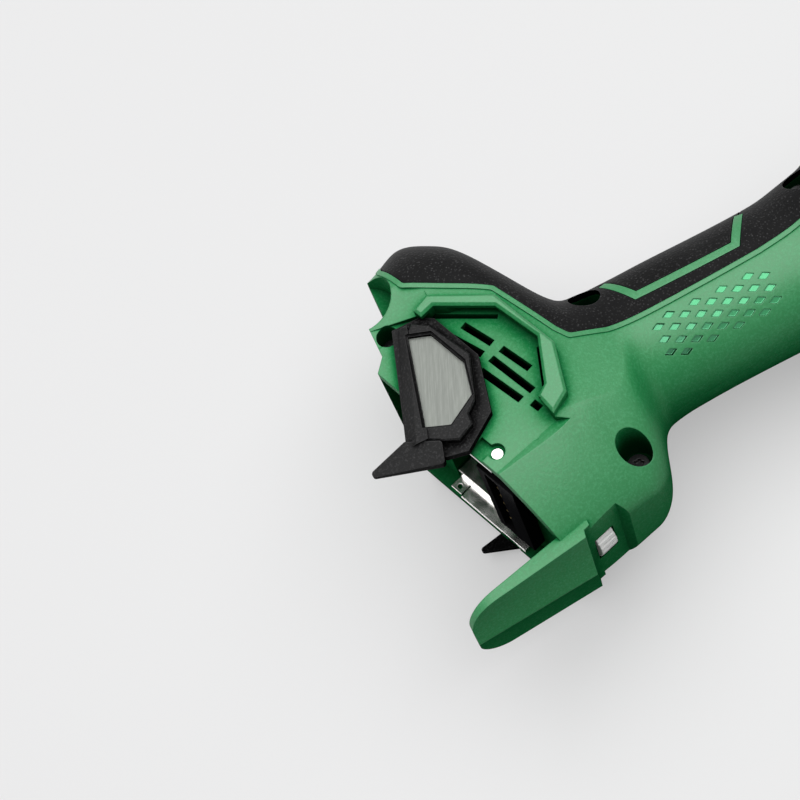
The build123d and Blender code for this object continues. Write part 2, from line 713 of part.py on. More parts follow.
# Shell of the right half: battery pocket, filter seat, foot and dial trough, no screw holes yet
rear_points = [
    (60, 90), (hump_rear_x, 90), (hump_rear_x, hump_rear_low), (boss_rear_x, hump_rear_low - 2.0),
    (boss_rear_x, 17.0), pocket_top,
]
pocket_foot = in_pocket(pocket_length + 20, 0)
spigot_bore_r = spigot_r + seat_fit
with BuildPart() as shell:
    add(outer_form.part)
    slab(at_tail(rear_points) + [pocket_foot, (pocket_foot[0], -90), (datum + 60, -90)], 0, tail_reach,
         mode=Mode.INTERSECT)
    add(foot.part)
    add(bead.part)
    add(flank_hollow.part, mode=Mode.SUBTRACT)
    add(flank_ramp.part, mode=Mode.SUBTRACT)
    add(lip.part)
    add(cavity.part, mode=Mode.SUBTRACT)
    add(cover_bed.part, mode=Mode.SUBTRACT)
    add(diamonds.part, mode=Mode.SUBTRACT)
    slab(at_tail(seat_points), seat_z, tail_reach, mode=Mode.SUBTRACT)
    slab(at_tail(groove_points), seat_z, seat_z + groove_height, mode=Mode.SUBTRACT)
    add(air_slots.part, mode=Mode.SUBTRACT)
    slab(pocket_box(rim_notch_start, rim_notch_end, -pocket_depth, rim_notch_depth), rim_notch_floor,
         tail_reach, mode=Mode.SUBTRACT)
    add(pocket_space.part, mode=Mode.SUBTRACT)
    slab(pocket_box(block_start, block_start + block_length, 0, block_height + tail_wall), 0,
         block_half_width, grow=seat_fit, mode=Mode.SUBTRACT)
    slab(at_tail(trough_points), 0, tail_reach, mode=Mode.SUBTRACT)
    dial_disc(dial_r + dial_gap, -dial_width / 2 - dial_gap, dial_width / 2 + dial_gap, mode=Mode.SUBTRACT)
    post(at_tail([scoop_middle])[0], scoop_r, scoop_low, tail_reach, mode=Mode.SUBTRACT)
    post(at_tail([keyhole])[0], keyhole_r, pocket_half_width - rail_thickness - seat_fit, tail_reach,
         mode=Mode.SUBTRACT)
    post(at_tail([keyhole])[0], keyhole_recess_r, rim_notch_floor, tail_reach, mode=Mode.SUBTRACT)
    turn([(motor_rear + 1, 0), (motor_rear + 1, spigot_bore_r), (spigot_rear - seat_fit, spigot_bore_r),
          (spigot_rear - seat_fit, 0)], mode=Mode.SUBTRACT)
    block((motor_rear + 1, -link_slot / 2, 0), (motor_rear - spigot_length - 1, link_slot / 2, link_roof),
          mode=Mode.SUBTRACT)

# Housing halves. The right one takes the screw heads, the left one their threads.
with BuildPart() as housing_right:
    add(shell.part)
    for (place, seat, length, bore_r), spot in zip(housing_screws, screw_places):
        post(spot, bore_r, seat, tail_reach, mode=Mode.SUBTRACT)
        post(spot, screw_r + seat_fit, 0, seat, mode=Mode.SUBTRACT)

with BuildPart() as housing_left:
    mirror(shell.part, about=Plane.XY)
    for (place, seat, length, bore_r), spot in zip(housing_screws, screw_places):
        post(spot, screw_r + seat_fit, seat - length - seat_fit, 0, mode=Mode.SUBTRACT)

with BuildPart() as screws:
    for (place, seat, length, bore_r), spot in zip(housing_screws, screw_places):
        post(spot, screw_r, seat - length, seat)
        post(spot, screw_head_r, seat, seat + screw_head)
        with BuildSketch(Plane.XY.offset(seat + screw_head - torx_depth)) as recess:
            with Locations(spot):
                Circle(torx_r)
                with PolarLocations(torx_r, 6):
                    Circle(torx_lobe_r)
        extrude(recess.sketch, amount=torx_depth, mode=Mode.SUBTRACT)

# Soft cover and the pad inside the inlay rib, with a seam around each
with BuildSketch(Plane.XY) as inlay_gap:
    with BuildLine():
        Polyline(*at_tail(inlay_points))
    trace(line_width=inlay_width + 2 * seam)
    for inner, end in (inlay_points[1::-1], inlay_points[2:]):
        run_on = (inlay_top - end[1]) / (end[1] - inner[1])
        with BuildLine() as seam_line:
            Polyline(*at_tail([end, (end[0] + run_on * (end[0] - inner[0]), inlay_top)]))
        trace(seam_line.edges(), line_width=2 * seam)

with BuildPart() as soft_skin:
    add(cover_bed.part)
    slab(at_tail(cover_points), 0, tail_reach, corner=cover_corner, grow=-seam, mode=Mode.INTERSECT)
    extrude(inlay_gap.sketch, amount=tail_reach, dir=(0, 0, 1), mode=Mode.SUBTRACT)

skin_pieces = soft_skin.solids().sort_by(SortBy.VOLUME)
with BuildPart() as grip_cover_right:
    add(skin_pieces[-1])
    for (place, seat, length, bore_r), spot in zip(housing_screws, screw_places):
        post(spot, bore_r, seat, tail_reach, mode=Mode.SUBTRACT)

with BuildPart() as grip_pad_right:
    add(skin_pieces[0])

with BuildPart() as grip_cover_left:
    mirror(skin_pieces[-1], about=Plane.XY)

with BuildPart() as grip_pad_left:
    mirror(skin_pieces[0], about=Plane.XY)

# Dust filters: the right one is drawn part of the way out, the left one is home in its seat
pull_slope = math.radians(pull_slope_deg)
drawn_out = (-pull_out * math.cos(pull_slope), pull_out * math.sin(pull_slope))
filter_floor = seat_z + flat_gap


def filter_frame(shift):
    """Frame of a right-hand filter: flange, raised rim, rear bar and finger tab around the window."""
    slab(at_tail(flange_points, shift), filter_floor, filter_floor + flange_thickness)
    slab(at_tail(rim_points, shift), filter_floor, filter_top)
    chamfer(faces().sort_by(Axis.Z)[-1].edges(), rim_chamfer)
    with BuildPart() as bar:
        slab(at_tail(bar_points, shift), filter_floor, lip_top)
        split(bisect_by=slope_plane(bar_slope, shift), keep=Keep.BOTTOM)
    add(bar.part)
    with BuildPart() as tab:
        slab(at_tail(tab_points, shift), filter_floor, filter_top, corner=tab_corner)
        split(bisect_by=slope_plane(tab_slope, shift), keep=Keep.BOTTOM)
    add(tab.part)
    slab(at_tail(window_points, shift), filter_top - window_ledge, tail_reach, grow=window_ledge,
         mode=Mode.SUBTRACT)
    slab(at_tail(window_points, shift), 0, tail_reach, mode=Mode.SUBTRACT)
    slab(at_tail(window_points, shift), mesh_height, mesh_height + mesh_thickness, grow=mesh_tuck,
         mode=Mode.SUBTRACT)


def filter_mesh(shift):
    """Mesh of a right-hand filter, let into the frame all round."""
    slab(at_tail(window_points, shift), mesh_height, mesh_height + mesh_thickness, grow=mesh_tuck - seat_fit)


with BuildPart() as filter_frame_right:
    filter_frame(drawn_out)

with BuildPart() as filter_mesh_right:
    filter_mesh(drawn_out)

with BuildPart() as frame_at_home:
    filter_frame((0.0, 0.0))

with BuildPart() as filter_frame_left:
    mirror(frame_at_home.part, about=Plane.XY)

with BuildPart() as mesh_at_home:
    filter_mesh((0.0, 0.0))

with BuildPart() as filter_mesh_left:
    mirror(mesh_at_home.part, about=Plane.XY)

# Speed dial and the potentiometer that it turns
with BuildPart() as speed_dial:
    with BuildSketch(dial_plane.offset(-dial_width / 2)) as rim:
        Circle(dial_r)
        with PolarLocations(dial_r, dial_ribs):
            Circle(dial_rib_r, mode=Mode.SUBTRACT)
    extrude(rim.sketch, amount=dial_width)
    dial_disc(dial_shaft_r, dial_width / 2, dial_width / 2 + dial_shaft_length)

pot_front = dial_width / 2 + dial_gap
pot_foot = dial_r - dial_proud - trough_wall - seat_fit
with BuildPart() as dial_pot:
    with BuildSketch(dial_plane.offset(pot_front)) as pot_outline:
        with Locations(((pot_height - pot_foot) / 2, 0)):
            Rectangle(pot_height + pot_foot, pot_width)
    extrude(pot_outline.sketch, amount=pot_length)
    dial_disc(dial_shaft_r + running_fit, pot_front, pot_front + dial_shaft_length + dial_gap,
              mode=Mode.SUBTRACT)

# Battery rails: a strip and a lug on the pocket's wall, a stud in the keyhole, a leg down in the well
with BuildPart() as battery_rail_right:
    wall_face = pocket_half_width - rail_thickness
    strip_start = rail_start + rail_lug + rail_lug_gap
    web_end = rail_web + rail_thickness
    slab(pocket_box(rail_start, rail_start + rail_lug, rail_lug_gap, rail_strip), wall_face,
         pocket_half_width)
    slab(pocket_box(strip_start, rail_strip_end, 0, rail_strip), wall_face, pocket_half_width)
    slab(pocket_box(rail_start, rail_end, rail_strip, web_end), wall_face, pocket_half_width)
    post(at_tail([keyhole])[0], keyhole_r - seat_fit, wall_face, rim_notch_floor - seat_fit)
    slab(pocket_box(rail_start, rail_end, rail_web, web_end), pocket_half_width - rail_step,
         pocket_half_width)
    slab(pocket_box(rail_start, rail_end, rail_web, well_depth - seat_fit), pocket_half_width - rail_step,
         pocket_half_width - rail_step + rail_thickness)
    post(in_pocket(rail_start + rail_lug / 2, rail_strip / 2), rail_lug_hole_r, 0, tail_reach,
         mode=Mode.SUBTRACT)

with BuildPart() as battery_rail_left:
    mirror(battery_rail_right.part, about=Plane.XY)

# Terminal block across the pocket, with its blades, and the controller behind it
block_top = pocket_depth - block_stand
block_floor = block_top + block_height
block_slot_end = block_slot_start + block_slot
with BuildPart() as terminal_block:
    slab(pocket_box(block_start, block_start + block_length, block_top, block_floor),
         -block_half_width, block_half_width)
    slab(pocket_box(block_slot_start, block_slot_end, block_top, block_top + block_slot_depth),
         block_rim - block_half_width, block_half_width - block_rim,
         mode=Mode.SUBTRACT)

with BuildPart() as terminals:
    for number in range(terminal_count):
        middle = (number - (terminal_count - 1) / 2) * terminal_pitch
        slab(pocket_box(block_slot_start + seat_fit, block_slot_end - seat_fit,
                        block_top + terminal_inset, block_top + block_slot_depth),
             middle - terminal_thickness / 2, middle + terminal_thickness / 2)

tray_front = block_floor + tray_depth
with BuildPart() as controller_tray:
    slab(pocket_box(tray_start, tray_start + tray_length, block_floor, tray_front),
         -tray_half_width, tray_half_width)
    slab(pocket_box(tray_start + tray_wall, tray_start + tray_length - tray_wall, block_floor + tray_wall,
                    tray_front), tray_wall - tray_half_width, tray_half_width - tray_wall, mode=Mode.SUBTRACT)

board_gap = tray_wall + seat_fit
board_face = tray_front - board_inset
with BuildPart() as controller_board:
    slab(pocket_box(tray_start + board_gap, tray_start + tray_length - board_gap, block_floor + tray_wall,
                    board_face), board_gap - tray_half_width, tray_half_width - board_gap)
    for number in range(board_parts):
        start = tray_start + board_gap + board_part_edge + number * board_part_pitch
        slab(pocket_box(start, start + board_part, board_face, board_face + board_part_height),
             -board_part / 2, board_part / 2)

# Switch in the grip, its slider, the link to the knob, and the knob itself
slider_front = switch_front - switch_travel
slider_rear = slider_front - slider_length
switch_top = link_low_z - link_thickness / 2 - slider_height - flat_gap
tongue_low = switch_top - slider_tongue
knob_middle = motor_rear + knob_offset
link_bend = motor_rear + link_bend_offset
with BuildPart() as switch_body:
    block((switch_front, -switch_width / 2, switch_top - switch_height),
          (switch_rear, switch_width / 2, switch_top))
    block((slider_front + switch_travel + slide_gap, -tongue_width / 2 - slide_gap, tongue_low - slide_gap),
          (slider_rear - slide_gap, tongue_width / 2 + slide_gap, switch_top), mode=Mode.SUBTRACT)

with BuildPart() as switch_slider:
    block((slider_front, -link_width / 2, switch_top + flat_gap),
          (slider_rear, link_width / 2, link_low_z - link_thickness / 2))
    block((slider_front, -tongue_width / 2, tongue_low),
          (slider_rear, tongue_width / 2, switch_top + flat_gap))

with BuildPart() as switch_link:
    with BuildSketch(Plane.XZ) as link_outline:
        with BuildLine():
            Polyline((knob_middle + stem_length / 2, link_z), (link_bend, link_z),
                     (link_bend - link_bend_run, link_low_z), (slider_rear, link_low_z))
        trace(line_width=link_thickness)
    extrude(link_outline.sketch, amount=link_width / 2, both=True)

knob_floor = knob_pad_z + flat_gap
with BuildPart() as switch_knob:
    block((knob_middle - knob_length / 2, -knob_width / 2, knob_floor),
          (knob_middle + knob_length / 2, knob_width / 2, knob_floor + knob_height))
    block((knob_middle - stem_length / 2, -stem_width / 2, link_z + link_thickness / 2),
          (knob_middle + stem_length / 2, stem_width / 2, knob_floor))
    for number in range(knob_ridges):
        ridge = knob_middle + (number - (knob_ridges - 1) / 2) * knob_ridge_pitch
        with BuildSketch(Plane.XZ) as groove:
            with Locations((ridge, knob_floor + knob_height)):
                Circle(knob_groove_r)
        extrude(groove.sketch, amount=knob_width, both=True, mode=Mode.SUBTRACT)

# Motor housing: fan chamber, stator bore, rear wall with the bearing seat, spigot for the grip
chamber_r = motor_r - motor_wall
screw_ring_r = nose_screw_pcd / 2
bracket_front = motor_front - bracket_offset
bracket_rear = bracket_front - bracket_thickness
stator_bore_r = stator_r + seat_fit
bush_r = motor_rear_bearing_r + bush_thickness
rear_wall_front = motor_rear + rear_wall
rear_seat_front = motor_rear + rear_cover + motor_rear_bearing_width + rear_seat_lead
fan_front = motor_front - fan_offset
fan_middle = fan_front - fan_width / 2
boss_front = motor_front - nose_spigot_length - seat_fit
with BuildPart() as motor_housing:
    turn([
        (motor_front, chamber_r), (motor_front, motor_r), (motor_rear, motor_r), (motor_rear, spigot_r),
        (spigot_rear, spigot_r), (spigot_rear, spigot_r - spigot_wall), (motor_rear, spigot_r - spigot_wall),
        (motor_rear, 0), (motor_rear + rear_cover, 0), (motor_rear + rear_cover, bush_r + seat_fit),
        (rear_seat_front, bush_r + seat_fit), (rear_seat_front, bush_r + rear_seat_wall),
        (rear_wall_front, bush_r + rear_seat_wall), (rear_wall_front, stator_bore_r),
        (bracket_rear, stator_bore_r), (bracket_rear, chamber_r),
    ])
    rods(boss_wall_r, screw_ring_r, nose_screw_count, boss_front, bracket_front + boss_end_gap,
         nose_screw_deg)
    rods(nose_screw_r + seat_fit, screw_ring_r, nose_screw_count, motor_front, bracket_front + boss_end_gap,
         nose_screw_deg, mode=Mode.SUBTRACT)
    block((knob_middle - knob_length / 2 - pad_margin, -knob_pad_width / 2, stator_bore_r + motor_wall),
          (knob_middle + knob_length / 2 + switch_travel + pad_margin, knob_pad_width / 2, knob_pad_z))
    block((knob_middle - stem_length / 2 - slide_gap, -stem_width / 2 - slide_gap, stator_bore_r - 1),
          (knob_middle + stem_length / 2 + switch_travel + slide_gap, stem_width / 2 + slide_gap, knob_pad_z),
          mode=Mode.SUBTRACT)
    block((motor_rear - spigot_length, -link_slot / 2, stator_bore_r - 1),
          (knob_middle + stem_length / 2 + switch_travel + slide_gap, link_slot / 2, link_roof),
          mode=Mode.SUBTRACT)
    block((motor_rear - spigot_length, -link_slot / 2, link_window_low),
          (rear_wall_front, link_slot / 2, link_roof), mode=Mode.SUBTRACT)
    block((motor_rear, -lead_window / 2, -spigot_r + spigot_wall),
          (rear_wall_front, lead_window / 2, -bush_r - rear_seat_wall), mode=Mode.SUBTRACT)
    for side in (1, -1):
        block((motor_rear, side * (bush_r + rear_seat_wall), -air_window / 2),
              (rear_wall_front, side * (spigot_r - spigot_wall), air_window / 2), mode=Mode.SUBTRACT)
    with BuildSketch(Plane.YZ.offset(rear_wall_front)) as air_channels:
        with PolarLocations(stator_r, air_channel_count):
            Rectangle(2 * air_channel_depth, air_channel_width)
    extrude(air_channels.sketch, amount=bracket_rear - rear_wall_front, mode=Mode.SUBTRACT)
    for side in range(nose_screw_count):
        for number in range(vents_per_side):
            turn_deg = side * 360 / nose_screw_count + (number - (vents_per_side - 1) / 2) * vent_step_deg
            out = (0, math.cos(math.radians(turn_deg)), math.sin(math.radians(turn_deg)))
            with BuildSketch(Plane(origin=(fan_middle, 0, 0), x_dir=(1, 0, 0), z_dir=out)) as vent:
                SlotOverall(vent_length, vent_width)
            extrude(vent.sketch, amount=2 * motor_r, mode=Mode.SUBTRACT)

# Stator: laminated core, end insulators with board posts, and a coil round each tooth
stator_front = motor_front - stator_offset
stator_rear = stator_front - stator_length
pole_r = rotor_r + air_gap
coil_low = pole_r + pole_shoe
coil_high = stator_r - stator_yoke


def stator_outline(x_front, x_rear):
    """Ring with teeth and pole shoes, between two stations."""
    with BuildSketch(Plane.YZ.offset(x_rear)) as outline:
        Circle(stator_r)
        Circle(coil_high, mode=Mode.SUBTRACT)
        with PolarLocations((pole_r + stator_r - stator_yoke / 2) / 2, stator_teeth):
            Rectangle(stator_r - stator_yoke / 2 - pole_r, tooth_width)
        with PolarLocations(pole_r + pole_shoe / 2, stator_teeth):
            Rectangle(pole_shoe, pole_width)
        Circle(pole_r, mode=Mode.SUBTRACT)
    extrude(outline.sketch, amount=x_front - x_rear)


with BuildPart() as stator_core:
    stator_outline(stator_front, stator_rear)

insulator_front = stator_front + insulator_thickness
insulator_rear = stator_rear - insulator_thickness
board_front = insulator_rear - coil_overhang - slide_gap
board_rear = board_front - sensor_board_thickness
with BuildPart() as stator_insulators:
    stator_outline(insulator_front, stator_front)
    stator_outline(stator_rear, insulator_rear)
    rods(board_post_r, board_post_ring_r, 3, insulator_rear, board_front, 30)

with BuildPart() as stator_windings:
    for number in range(stator_teeth):
        angle = number * 360 / stator_teeth
        out = (0, math.cos(math.radians(angle)), math.sin(math.radians(angle)))
        middle_x = (stator_front + stator_rear) / 2
        coil_foot = (middle_x, out[1] * coil_low, out[2] * coil_low)
        coil_plane = Plane(origin=coil_foot, x_dir=(1, 0, 0), z_dir=out)
        inner_length = insulator_front - insulator_rear + 2 * seat_fit
        with BuildSketch(coil_plane) as coil:
            RectangleRounded(inner_length + 2 * coil_overhang, tooth_width + 2 * coil_build, coil_build)
            Rectangle(inner_length, tooth_width + 2 * seat_fit, mode=Mode.SUBTRACT)
        extrude(coil.sketch, amount=coil_high - coil_low - coil_clear)

with BuildPart() as sensor_board:
    turn([(board_front, board_bore_r), (board_front, board_r), (board_rear, board_r),
          (board_rear, board_bore_r)])

# Rotor: shaft, core, fan and coupling sleeve turn together with the spindle
shaft_front = spindle_rear - coupling_gap
shaft_rear = motor_rear + rear_cover + seat_fit
shaft_step = rear_seat_front
with BuildPart() as rotor_shaft:
    turn([(shaft_front, 0), (shaft_front, shaft_front_r), (shaft_step, shaft_front_r),
          (shaft_step, shaft_rear_r), (shaft_rear, shaft_rear_r), (shaft_rear, 0)])

shaft_bore_r = shaft_front_r + seat_fit
with BuildPart() as rotor_core:
    turn([(stator_front, shaft_bore_r), (stator_front, rotor_r), (stator_rear, rotor_r),
          (stator_rear, shaft_bore_r)])

fan_rear = fan_front - fan_width
with BuildPart() as cooling_fan:
    turn([(fan_front, shaft_bore_r), (fan_front, fan_hub_r), (fan_rear + fan_plate, fan_hub_r),
          (fan_rear + fan_plate, fan_r), (fan_rear, fan_r), (fan_rear, shaft_bore_r)])
    with BuildSketch(Plane.YZ.offset(fan_rear + fan_plate / 2)) as blades:
        with PolarLocations((fan_hub_r + fan_r) / 2, fan_blades):
            Rectangle(fan_r - fan_hub_r, fan_blade, rotation=fan_blade_lean_deg)
    extrude(blades.sketch, amount=fan_width - fan_plate / 2)

coupling_front = (spindle_rear + shaft_front) / 2 + coupling_length / 2
coupling_rear = coupling_front - coupling_length
with BuildPart() as coupling_sleeve:
    turn([
        (coupling_front, spindle_tail_r + seat_fit), (coupling_front, coupling_r - edge_chamfer),
        (coupling_front - edge_chamfer, coupling_r), (coupling_rear + edge_chamfer, coupling_r),
        (coupling_rear, coupling_r - edge_chamfer), (coupling_rear, spindle_tail_r + seat_fit),
    ])


def bearing(front, width, bore_r, outer_r):
    """Ball bearing with sunk shields between its rings."""
    ring = (outer_r - bore_r) * bearing_ring_share
    rear = front - width
    turn([
        (front, bore_r), (front, bore_r + ring), (front - shield_depth, bore_r + ring),
        (front - shield_depth, outer_r - ring), (front, outer_r - ring), (front, outer_r),
        (rear, outer_r), (rear, outer_r - ring), (rear + shield_depth, outer_r - ring),
        (rear + shield_depth, bore_r + ring), (rear, bore_r + ring), (rear, bore_r),
    ])


with BuildPart() as motor_front_bearing:
    bearing(bracket_front, motor_front_bearing_width, shaft_front_r + running_fit, motor_front_bearing_r)

rear_bearing_front = motor_rear + rear_cover + motor_rear_bearing_width
with BuildPart() as motor_rear_bearing:
    bearing(rear_bearing_front, motor_rear_bearing_width, shaft_rear_r + running_fit, motor_rear_bearing_r)

with BuildPart() as rear_bearing_bush:
    turn([(rear_bearing_front, motor_rear_bearing_r + seat_fit), (rear_bearing_front, bush_r),
          (motor_rear + rear_cover, bush_r), (motor_rear + rear_cover, motor_rear_bearing_r + seat_fit)])

# Bracket that carries the front motor bearing across the housing
bracket_floor = bracket_front - motor_front_bearing_width
bracket_web = bracket_front - bracket_web_offset
with BuildPart() as bearing_bracket:
    turn([
        (bracket_front, motor_front_bearing_r + seat_fit), (bracket_front, bracket_hub_r),
        (bracket_web, bracket_hub_r), (bracket_web, chamber_r - bracket_rim),
        (bracket_front, chamber_r - bracket_rim), (bracket_front, chamber_r - seat_fit),
        (bracket_rear, chamber_r - seat_fit), (bracket_rear, bracket_hole_r),
        (bracket_floor, bracket_hole_r), (bracket_floor, motor_front_bearing_r + seat_fit),
    ])
    rods(bracket_air_r, (bracket_hub_r + chamber_r - bracket_rim) / 2, bracket_air_count, bracket_front,
         bracket_rear, mode=Mode.SUBTRACT)

with BuildPart() as motor_leads:
    for lead_y in (-lead_pitch, 0.0, lead_pitch):
        run = (pocket_top[1] + tray_front * math.sin(slant) - lead_y) / math.cos(slant)
        lead_rear = in_pocket(run, tray_front)[0] + lead_r + slide_gap
        with BuildSketch(Plane.YZ.offset(lead_rear)) as lead:
            with Locations((lead_y, lead_z)):
                Circle(lead_r)
        extrude(lead.sketch, amount=board_rear - slide_gap - lead_rear)

# Nose: housing, clamping neck, boot, front cap and seal
boot_front = neck_rear - boot_offset
boot_rear = boot_front - boot_length
cone_r = neck_d / 2 - cone_step
with BuildPart() as nose_housing:
    turn([
        (nose_front, cap_r + seat_fit), (nose_front, neck_d / 2 - neck_chamfer), (neck_front, neck_d / 2),
        (neck_rear, neck_d / 2), (boot_front, cone_r), (boot_rear, boot_seat_r), (flange_front, boot_seat_r),
        (flange_front, motor_r - edge_chamfer), (flange_front - edge_chamfer, motor_r),
        (motor_front, motor_r),
        (motor_front, chamber_r - seat_fit), (motor_front - nose_spigot_length, chamber_r - seat_fit),
        (motor_front - nose_spigot_length, chamber_r - spigot_wall), (flange_front, coupling_room_r),
        (back_bearing_rear, back_bearing_r + seat_fit), (back_bearing_front, back_bearing_r + seat_fit),
        (back_bearing_front, nose_bore_r), (front_bearing_rear, nose_bore_r),
        (front_bearing_rear, front_bearing_r + seat_fit), (cap_rear, front_bearing_r + seat_fit),
        (cap_rear, cap_r + seat_fit),
    ])
    rods(nose_screw_r + slide_gap, screw_ring_r, nose_screw_count, flange_front,
         motor_front - nose_spigot_length, nose_screw_deg, mode=Mode.SUBTRACT)

with BuildPart() as nose_screws:
    head_front = flange_front + nose_screw_head
    rods(nose_screw_r, screw_ring_r, nose_screw_count, flange_front, flange_front - nose_screw_length,
         nose_screw_deg)
    rods(nose_screw_head_r, screw_ring_r, nose_screw_count, head_front, flange_front, nose_screw_deg)
    with BuildSketch(Plane.YZ.offset(head_front)) as sockets:
        with PolarLocations(screw_ring_r, nose_screw_count, start_angle=nose_screw_deg):
            RegularPolygon(hex_socket_r, 6)
    extrude(sockets.sketch, amount=-hex_socket_depth, mode=Mode.SUBTRACT)

boot_outer = []
rib_pitch = boot_length / (2 * boot_ribs + 1)
for number in range(2 * boot_ribs + 1):
    lift = boot_thickness + (boot_rib_height if number % 2 else 0.0)
    for edge in (number * rib_pitch, (number + 1) * rib_pitch):
        boot_outer.append((boot_front - edge, cone_r + (boot_seat_r - cone_r) * edge / boot_length + lift))
with BuildPart() as nose_boot:
    turn([(boot_front, cone_r)] + boot_outer + [(boot_rear, boot_seat_r)])

with BuildPart() as front_cap:
    turn([
        (nose_front, cap_bore_r), (nose_front, cap_r - edge_chamfer), (nose_front - edge_chamfer, cap_r),
        (cap_rear, cap_r), (cap_rear, seal_r + seat_fit), (cap_rear + seal_width, seal_r + seat_fit),
        (cap_rear + seal_width, cap_bore_r),
    ])

with BuildPart() as dust_seal:
    turn([(cap_rear, seal_land_r + running_fit), (cap_rear + seal_width, seal_land_r + running_fit),
          (cap_rear + seal_width, seal_r), (cap_rear, seal_r)])

with BuildPart() as front_spindle_bearing:
    bearing(cap_rear, front_bearing_width, front_bearing_bore_r + running_fit, front_bearing_r)

with BuildPart() as back_spindle_bearing:
    bearing(back_bearing_front, back_bearing_width, back_bearing_bore_r + running_fit, back_bearing_r)

# Spindle with the taper seat of the collet in its nose
collet_rear = -collet_length
taper_slope = (collet_head_r - collet_tail_r) / (collet_length - collet_head_length)
spindle_front = nut_front - nut_shoulder - slide_gap
taper_mouth_r = collet_head_r - taper_slope * (-collet_head_length - spindle_front) + taper_gap
taper_end_r = collet_tail_r + taper_gap - taper_slope * spindle_relief
with BuildPart() as spindle:
    turn([
        (spindle_front, taper_mouth_r), (spindle_front, thread_root_r),
        (spindle_front - thread_r + thread_root_r, thread_r), (nut_rear - edge_chamfer, thread_r),
        (collar_front, thread_root_r), (collar_front, wrench_collar_r),
        (collar_rear, wrench_collar_r), (collar_rear, seal_land_r), (cap_rear, seal_land_r),
        (cap_rear, front_bearing_bore_r), (back_bearing_front, front_bearing_bore_r),
        (back_bearing_front, back_bearing_bore_r), (back_bearing_rear, back_bearing_bore_r),
        (back_bearing_rear, spindle_tail_r), (spindle_rear, spindle_tail_r), (spindle_rear, 0),
        (collet_rear - shank_room, 0), (collet_rear - shank_room, shank_d / 2 + taper_gap),
        (collet_rear - spindle_relief, shank_d / 2 + taper_gap), (collet_rear - spindle_relief, taper_end_r),
    ])
    for side in (1, -1):
        block((collar_front, -wrench_collar_r, side * wrench_flats / 2),
              (collar_rear, wrench_collar_r, side * 2 * wrench_flats), mode=Mode.SUBTRACT)

with BuildPart() as collet:
    turn([
        (0, shank_d / 2), (0, collet_mouth_r), (-collet_cone_length, collet_head_r),
        (-collet_head_length, collet_head_r), (collet_rear, collet_tail_r), (collet_rear, shank_d / 2),
    ])
    for turned in (0, 1):
        wide = (collet_head_r, collet_slit / 2)
        half_y, half_z = wide if turned else wide[::-1]
        block((0, -half_y, -half_z), (-collet_slit_length, half_y, half_z), mode=Mode.SUBTRACT)

cone_slope = (collet_head_r - collet_mouth_r) / collet_cone_length
with BuildPart() as collet_nut:
    with BuildSketch(Plane.YZ.offset(nut_rear)) as hexagon:
        RegularPolygon(nut_across_flats / 2, 6, major_radius=False)
    extrude(hexagon.sketch, amount=nut_length)
    turn([
        (nut_front, 0), (nut_front, nut_mouth_r), (nut_front - nut_chamfer, nut_corner_r),
        (nut_rear + edge_chamfer, nut_corner_r), (nut_rear, nut_corner_r - edge_chamfer), (nut_rear, 0),
    ], mode=Mode.INTERSECT)
    turn([
        (nut_front, 0), (nut_front, collet_mouth_r + cone_slope * nut_front_inset + taper_gap),
        (-collet_cone_length, collet_head_r + taper_gap),
        (nut_front - nut_shoulder, collet_head_r + taper_gap),
        (nut_front - nut_shoulder, thread_r + seat_fit), (nut_rear, thread_r + seat_fit), (nut_rear, 0),
    ], mode=Mode.SUBTRACT)

# Every piece under its own name
pieces = {
    "housing_right": housing_right, "housing_left": housing_left, "housing_screws": screws,
    "grip_cover_right": grip_cover_right, "grip_cover_left": grip_cover_left,
    "grip_pad_right": grip_pad_right, "grip_pad_left": grip_pad_left,
    "filter_frame_right": filter_frame_right, "filter_mesh_right": filter_mesh_right,
    "filter_frame_left": filter_frame_left, "filter_mesh_left": filter_mesh_left,
    "speed_dial": speed_dial, "dial_pot": dial_pot,
    "battery_rail_right": battery_rail_right, "battery_rail_left": battery_rail_left,
    "terminal_block": terminal_block, "terminals": terminals,
    "controller_tray": controller_tray, "controller_board": controller_board, "motor_leads": motor_leads,
    "switch_body": switch_body, "switch_slider": switch_slider, "switch_link": switch_link,
    "switch_knob": switch_knob, "motor_housing": motor_housing, "stator_core": stator_core,
    "stator_insulators": stator_insulators, "stator_windings": stator_windings, "sensor_board": sensor_board,
    "rotor_shaft": rotor_shaft, "rotor_core": rotor_core, "cooling_fan": cooling_fan,
    "coupling_sleeve": coupling_sleeve, "motor_front_bearing": motor_front_bearing,
    "motor_rear_bearing": motor_rear_bearing, "rear_bearing_bush": rear_bearing_bush,
    "bearing_bracket": bearing_bracket, "nose_housing": nose_housing, "nose_boot": nose_boot,
    "nose_screws": nose_screws, "front_cap": front_cap, "dust_seal": dust_seal, "spindle": spindle,
    "front_spindle_bearing": front_spindle_bearing, "back_spindle_bearing": back_spindle_bearing,
    "collet": collet, "collet_nut": collet_nut,
}
for name, piece in pieces.items():
    piece.part.label = name
    export_step(piece.part, f"parts/{name}.step")
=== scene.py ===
import json
import math

import bpy
from mathutils import Matrix, Vector

